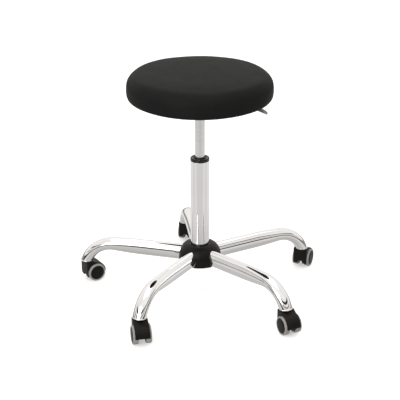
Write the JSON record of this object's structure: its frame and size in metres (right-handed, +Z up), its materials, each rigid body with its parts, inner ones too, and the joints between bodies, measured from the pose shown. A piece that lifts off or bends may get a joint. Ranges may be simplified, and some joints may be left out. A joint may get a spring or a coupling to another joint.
{
  "type": "swivel stool",
  "caption": "Round backless swivel stool: thick padded seat on a gas lift with a height lever, over a base of bent chrome legs on twin-wheel castors.",
  "frame": {"origin": "on the floor, straight below the axis of the column", "axes": "+Z up along the column; +Y away from the viewer of the reference view and +X to that viewer's right"},
  "size_m": [0.6531, 0.6913, 0.6131],
  "materials": {
    "chrome": "mirror-polished chrome on steel tube",
    "satin_steel": "satin grey steel tube",
    "zinc_steel": "bright zinc-plated steel",
    "spring_steel": "dark spring steel",
    "black_steel": "black powder coat on pressed steel",
    "black_plastic": "fine-grained black nylon",
    "gloss_plastic": "smooth black acetal",
    "grey_plastic": "satin grey plastic",
    "grey_rubber": "mid-grey polyurethane tread",
    "black_rubber": "black rubber",
    "leatherette": "smooth satin black leatherette",
    "foam": "open-cell seat foam",
    "plywood": "black-stained plywood"
  },
  "bodies": {
    "base": {"leg_1": "chrome", "leg_2": "chrome", "leg_3": "chrome", "leg_4": "chrome", "leg_5": "chrome", "hub_socket": "zinc_steel", "hub_cover": "black_plastic", "column_tube": "chrome", "guide_bush": "gloss_plastic", "thrust_bearing": "zinc_steel"},
    "castor_1": {"castor_1_hood": "black_plastic", "castor_1_stem": "zinc_steel", "castor_1_axle": "zinc_steel"},
    "castor_1_left": {"castor_1_wheel_left": "black_plastic", "castor_1_tyre_left": "grey_rubber"},
    "castor_1_right": {"castor_1_wheel_right": "black_plastic", "castor_1_tyre_right": "grey_rubber"},
    "castor_2": {"castor_2_hood": "black_plastic", "castor_2_stem": "zinc_steel", "castor_2_axle": "zinc_steel"},
    "castor_2_left": {"castor_2_wheel_left": "black_plastic", "castor_2_tyre_left": "grey_rubber"},
    "castor_2_right": {"castor_2_wheel_right": "black_plastic", "castor_2_tyre_right": "grey_rubber"},
    "castor_3": {"castor_3_hood": "black_plastic", "castor_3_stem": "zinc_steel", "castor_3_axle": "zinc_steel"},
    "castor_3_left": {"castor_3_wheel_left": "black_plastic", "castor_3_tyre_left": "grey_rubber"},
    "castor_3_right": {"castor_3_wheel_right": "black_plastic", "castor_3_tyre_right": "grey_rubber"},
    "castor_4": {"castor_4_hood": "black_plastic", "castor_4_stem": "zinc_steel", "castor_4_axle": "zinc_steel"},
    "castor_4_left": {"castor_4_wheel_left": "black_plastic", "castor_4_tyre_left": "grey_rubber"},
    "castor_4_right": {"castor_4_wheel_right": "black_plastic", "castor_4_tyre_right": "grey_rubber"},
    "castor_5": {"castor_5_hood": "black_plastic", "castor_5_stem": "zinc_steel", "castor_5_axle": "zinc_steel"},
    "castor_5_left": {"castor_5_wheel_left": "black_plastic", "castor_5_tyre_left": "grey_rubber"},
    "castor_5_right": {"castor_5_wheel_right": "black_plastic", "castor_5_tyre_right": "grey_rubber"},
    "seat_swivel": {"piston_rod": "chrome", "rubber_buffer": "black_rubber", "retaining_clip": "spring_steel"},
    "seat_lift": {"pressure_tube": "satin_steel", "mounting_plate": "black_steel", "seat_bolt_1": "zinc_steel", "seat_bolt_2": "zinc_steel", "seat_bolt_3": "zinc_steel", "seat_bolt_4": "zinc_steel", "seat_board": "plywood", "seat_foam": "foam", "seat_cover": "leatherette"},
    "lever": {"height_lever": "grey_plastic", "lever_bush": "black_plastic"},
    "button": {"release_button": "zinc_steel"}
  },
  "joints": [
    {"name": "castor_1_swivel", "type": "hinge", "parent": "base", "child": "castor_1", "pos_m": [0.28522, 0.13604, 0.06039], "axis": [0, 0, 1], "continuous": true},
    {"name": "castor_1_left_spin", "type": "hinge", "parent": "castor_1", "child": "castor_1_left", "pos_m": [0.29286, 0.15322, 0.02479], "axis": [-0.9135, 0.4067, 0], "continuous": true},
    {"name": "castor_1_right_spin", "type": "hinge", "parent": "castor_1", "child": "castor_1_right", "pos_m": [0.29286, 0.15322, 0.02479], "axis": [-0.9135, 0.4067, 0], "continuous": true},
    {"name": "castor_2_swivel", "type": "hinge", "parent": "base", "child": "castor_2", "pos_m": [-0.04125, 0.3133, 0.06039], "axis": [0, 0, 1], "continuous": true},
    {"name": "castor_2_left_spin", "type": "hinge", "parent": "castor_2", "child": "castor_2_left", "pos_m": [-0.03544, 0.33118, 0.02479], "axis": [-0.9511, 0.309, 0], "continuous": true},
    {"name": "castor_2_right_spin", "type": "hinge", "parent": "castor_2", "child": "castor_2_right", "pos_m": [-0.03544, 0.33118, 0.02479], "axis": [-0.9511, 0.309, 0], "continuous": true},
    {"name": "castor_3_swivel", "type": "hinge", "parent": "base", "child": "castor_3", "pos_m": [-0.31071, 0.05759, 0.06039], "axis": [0, 0, 1], "continuous": true},
    {"name": "castor_3_left_spin", "type": "hinge", "parent": "castor_3", "child": "castor_3_left", "pos_m": [-0.29459, 0.06727, 0.02479], "axis": [-0.515, 0.8572, 0], "continuous": true},
    {"name": "castor_3_right_spin", "type": "hinge", "parent": "castor_3", "child": "castor_3_right", "pos_m": [-0.29459, 0.06727, 0.02479], "axis": [-0.515, 0.8572, 0], "continuous": true},
    {"name": "castor_4_swivel", "type": "hinge", "parent": "base", "child": "castor_4", "pos_m": [-0.15078, -0.27771, 0.06039], "axis": [0, 0, 1], "continuous": true},
    {"name": "castor_4_left_spin", "type": "hinge", "parent": "castor_4", "child": "castor_4_left", "pos_m": [-0.14655, -0.29602, 0.02479], "axis": [0.9744, 0.225, 0], "continuous": true},
    {"name": "castor_4_right_spin", "type": "hinge", "parent": "castor_4", "child": "castor_4_right", "pos_m": [-0.14655, -0.29602, 0.02479], "axis": [0.9744, 0.225, 0], "continuous": true},
    {"name": "castor_5_swivel", "type": "hinge", "parent": "base", "child": "castor_5", "pos_m": [0.21752, -0.22922, 0.06039], "axis": [0, 0, 1], "continuous": true},
    {"name": "castor_5_left_spin", "type": "hinge", "parent": "castor_5", "child": "castor_5_left", "pos_m": [0.22576, -0.24612, 0.02479], "axis": [0.8988, 0.4384, 0], "continuous": true},
    {"name": "castor_5_right_spin", "type": "hinge", "parent": "castor_5", "child": "castor_5_right", "pos_m": [0.22576, -0.24612, 0.02479], "axis": [0.8988, 0.4384, 0], "continuous": true},
    {"name": "seat_turn", "type": "hinge", "parent": "base", "child": "seat_swivel", "pos_m": [0, 0, 0.0896], "axis": [0, 0, 1], "continuous": true},
    {"name": "seat_height", "type": "slide", "parent": "seat_swivel", "child": "seat_lift", "axis": [0, 0, 1], "range_m": [-0.105, 0]},
    {"name": "lever_lift", "type": "hinge", "parent": "seat_lift", "child": "lever", "pos_m": [0.03381, -0.00906, 0.5359], "axis": [-0.2588, -0.9659, 0], "range_deg": [0, 5.5], "stiffness_Nm_per_rad": 0.4, "springref_deg": -5.73},
    {"name": "button_press", "type": "slide", "parent": "seat_lift", "child": "button", "axis": [0, 0, -1], "range_m": [0, 0.0038], "stiffness_N_per_m": 200, "springref_m": -0.003}
  ],
  "couplings": [
    {"joint": "button_press", "follows": "lever_lift", "m_per_rad": 0.0385}
  ]
}
